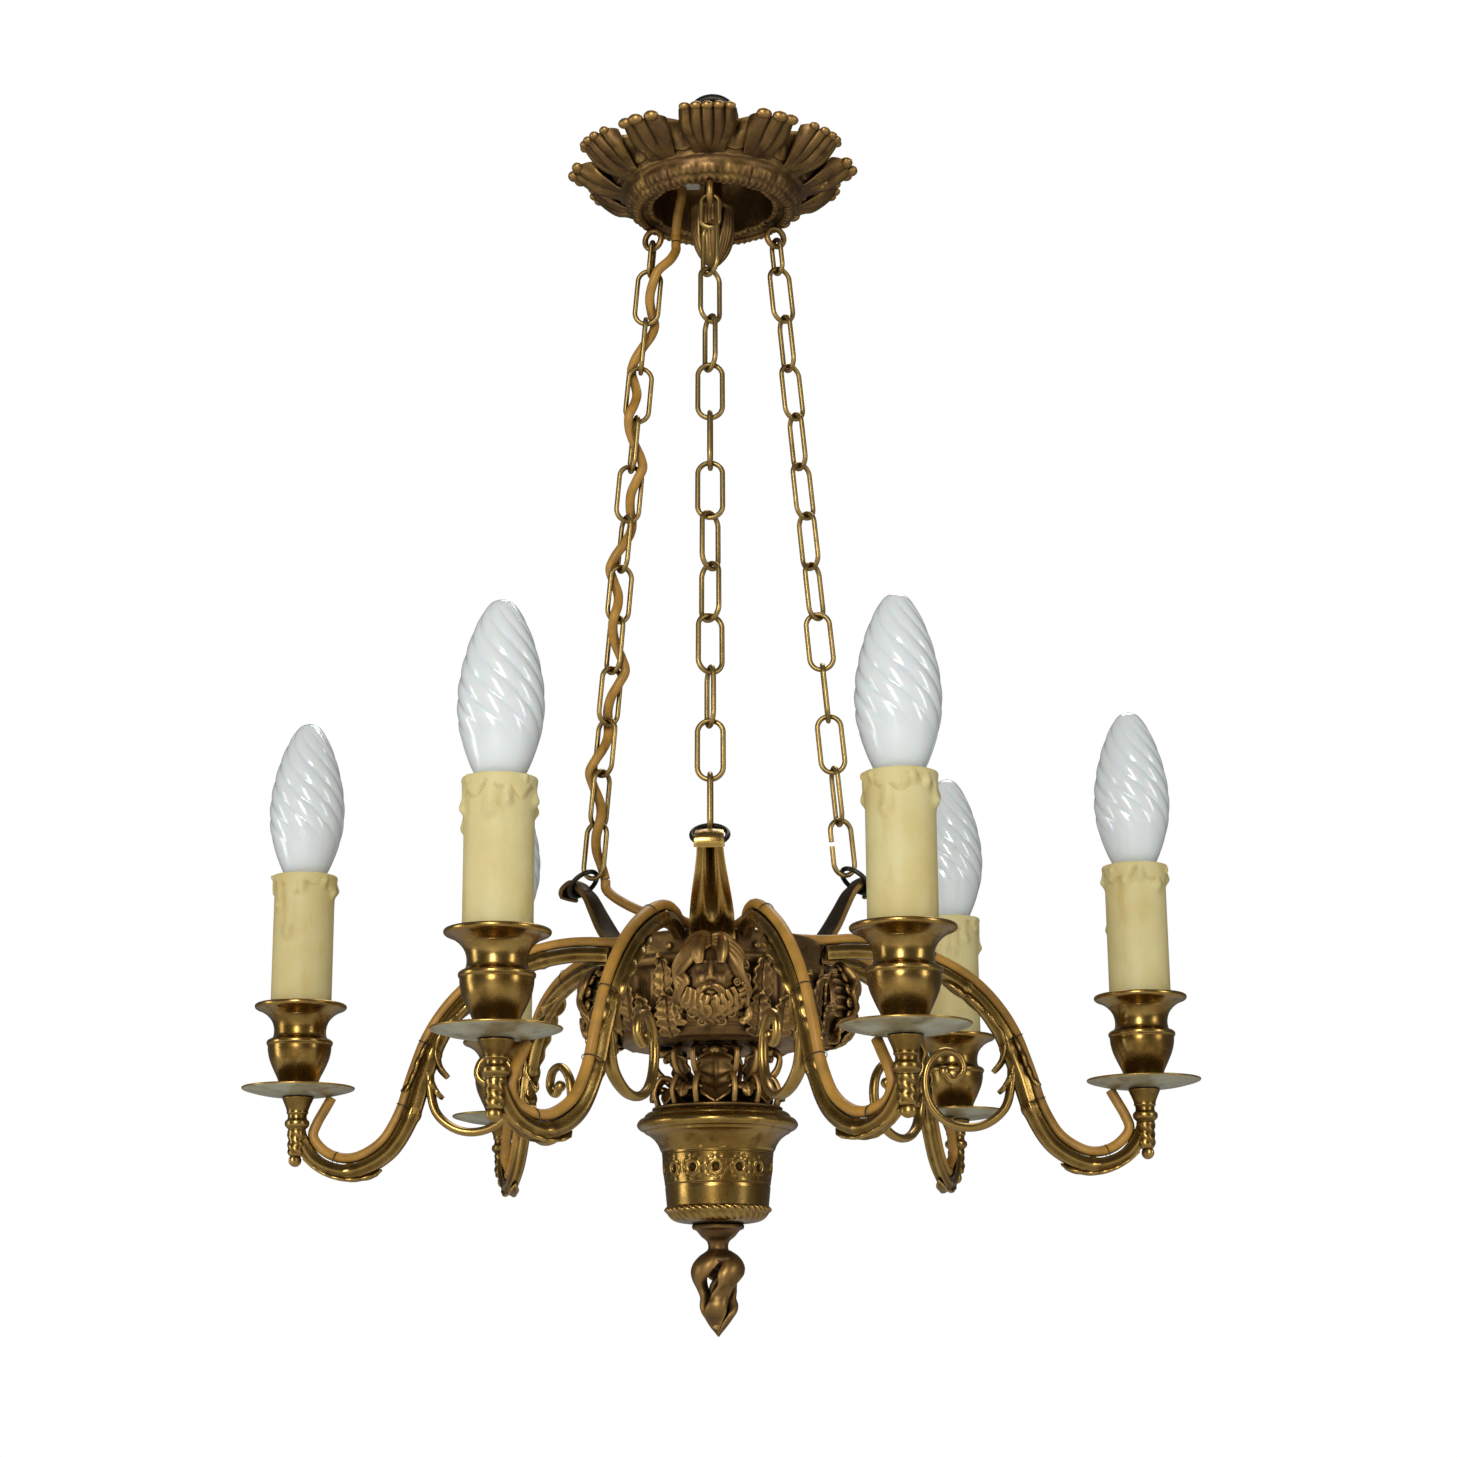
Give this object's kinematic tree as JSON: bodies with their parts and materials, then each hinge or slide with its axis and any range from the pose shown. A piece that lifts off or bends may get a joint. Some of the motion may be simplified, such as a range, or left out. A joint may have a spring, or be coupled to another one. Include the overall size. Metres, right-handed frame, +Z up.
{
  "type": "chandelier",
  "caption": "Cast brass chandelier with an acanthus canopy, oval-link chains, a masked hub, scrolled arms with candle lamps, an urn and a flame finial.",
  "frame": {"origin": "where the hanging eye bears on the ceiling hook, on the chandelier's axis", "axes": "+Z up along the chandelier's axis, -Y towards the front chain and its mask, +X to the right as seen from the front"},
  "size_m": [0.4402, 0.3882, 0.601],
  "materials": {
    "brass": "worn gilt, semi-bright",
    "aged_brass": "reddish brown patina in the hollows",
    "chain_brass": "dull",
    "dark_steel": "blackened",
    "flex": "golden brown",
    "candle_sleeve": "cream, wax-like",
    "lampholder": "off-white",
    "satin_glass": "satin white"
  },
  "bodies": {
    "canopy": {"hanging_eye": "dark_steel", "canopy": "aged_brass", "terminal_block": "lampholder", "flex_in_canopy": "flex"},
    "hub": {"hub_drum": "brass", "foliage_cage": "aged_brass", "urn": "brass", "tie_rod": "dark_steel", "horn_front": "aged_brass", "mask_front": "aged_brass", "hook_ring_front": "dark_steel", "horn_left": "aged_brass", "mask_left": "aged_brass", "hook_ring_left": "dark_steel", "horn_right": "aged_brass", "mask_right": "aged_brass", "hook_ring_right": "dark_steel", "arm_1": "brass", "drip_pan_1": "brass", "candle_cup_1": "brass", "candle_sleeve_1": "candle_sleeve", "lampholder_1": "lampholder", "arm_2": "brass", "drip_pan_2": "brass", "candle_cup_2": "brass", "candle_sleeve_2": "candle_sleeve", "lampholder_2": "lampholder", "arm_3": "brass", "drip_pan_3": "brass", "candle_cup_3": "brass", "candle_sleeve_3": "candle_sleeve", "lampholder_3": "lampholder", "arm_4": "brass", "drip_pan_4": "brass", "candle_cup_4": "brass", "candle_sleeve_4": "candle_sleeve", "lampholder_4": "lampholder", "arm_5": "brass", "drip_pan_5": "brass", "candle_cup_5": "brass", "candle_sleeve_5": "candle_sleeve", "lampholder_5": "lampholder", "arm_6": "brass", "drip_pan_6": "brass", "candle_cup_6": "brass", "candle_sleeve_6": "candle_sleeve", "lampholder_6": "lampholder", "wiring": "flex"},
    "chain_front": {"chain_front": "chain_brass"},
    "chain_left": {"chain_left": "chain_brass", "flex_on_chain": "flex"},
    "chain_right": {"chain_right": "chain_brass"},
    "canopy_nut": {"canopy_nut": "brass"},
    "finial": {"finial": "brass"},
    "bulb_1": {"bulb_1": "satin_glass"},
    "bulb_2": {"bulb_2": "satin_glass"},
    "bulb_3": {"bulb_3": "satin_glass"},
    "bulb_4": {"bulb_4": "satin_glass"},
    "bulb_5": {"bulb_5": "satin_glass"},
    "bulb_6": {"bulb_6": "satin_glass"}
  },
  "joints": [
    {"name": "sway", "type": "hinge", "parent": "canopy", "child": "hub", "pos_m": [0, 0, 0.25898], "axis": [1, 0, 0], "range_deg": [-2.5, 2.5]},
    {"name": "chain_front_swing", "type": "hinge", "parent": "canopy", "child": "chain_front", "pos_m": [0, -0.035, -0.066], "axis": [1, 0, 0], "range_deg": [-5.2, 5.2]},
    {"name": "chain_left_swing", "type": "hinge", "parent": "canopy", "child": "chain_left", "pos_m": [-0.03031, 0.0175, -0.066], "axis": [1, 0, 0], "range_deg": [-5.2, 5.2]},
    {"name": "chain_right_swing", "type": "hinge", "parent": "canopy", "child": "chain_right", "pos_m": [0.03031, 0.0175, -0.066], "axis": [1, 0, 0], "range_deg": [-5.2, 5.2]},
    {"name": "canopy_nut_unscrew", "type": "hinge", "parent": "canopy", "child": "canopy_nut", "pos_m": [0, 0, -0.06], "axis": [0, 0, 1], "continuous": true},
    {"name": "finial_unscrew", "type": "hinge", "parent": "hub", "child": "finial", "pos_m": [0, 0, -0.56], "axis": [0, 0, 1], "continuous": true},
    {"name": "bulb_1_unscrew", "type": "hinge", "parent": "hub", "child": "bulb_1", "pos_m": [-0.07908, -0.17857, -0.4], "axis": [0, 0, 1], "continuous": true},
    {"name": "bulb_2_unscrew", "type": "hinge", "parent": "hub", "child": "bulb_2", "pos_m": [0.07908, -0.17857, -0.4], "axis": [0, 0, 1], "continuous": true},
    {"name": "bulb_3_unscrew", "type": "hinge", "parent": "hub", "child": "bulb_3", "pos_m": [0.19419, 0.0208, -0.4], "axis": [0, 0, 1], "continuous": true},
    {"name": "bulb_4_unscrew", "type": "hinge", "parent": "hub", "child": "bulb_4", "pos_m": [0.11511, 0.15777, -0.4], "axis": [0, 0, 1], "continuous": true},
    {"name": "bulb_5_unscrew", "type": "hinge", "parent": "hub", "child": "bulb_5", "pos_m": [-0.11511, 0.15777, -0.4], "axis": [0, 0, 1], "continuous": true},
    {"name": "bulb_6_unscrew", "type": "hinge", "parent": "hub", "child": "bulb_6", "pos_m": [-0.19419, 0.0208, -0.4], "axis": [0, 0, 1], "continuous": true}
  ],
  "couplings": [
    {"joint": "chain_front_swing", "follows": "sway", "ratio": 2.0355},
    {"joint": "chain_left_swing", "follows": "sway", "ratio": 2.0355},
    {"joint": "chain_right_swing", "follows": "sway", "ratio": 2.0355}
  ]
}
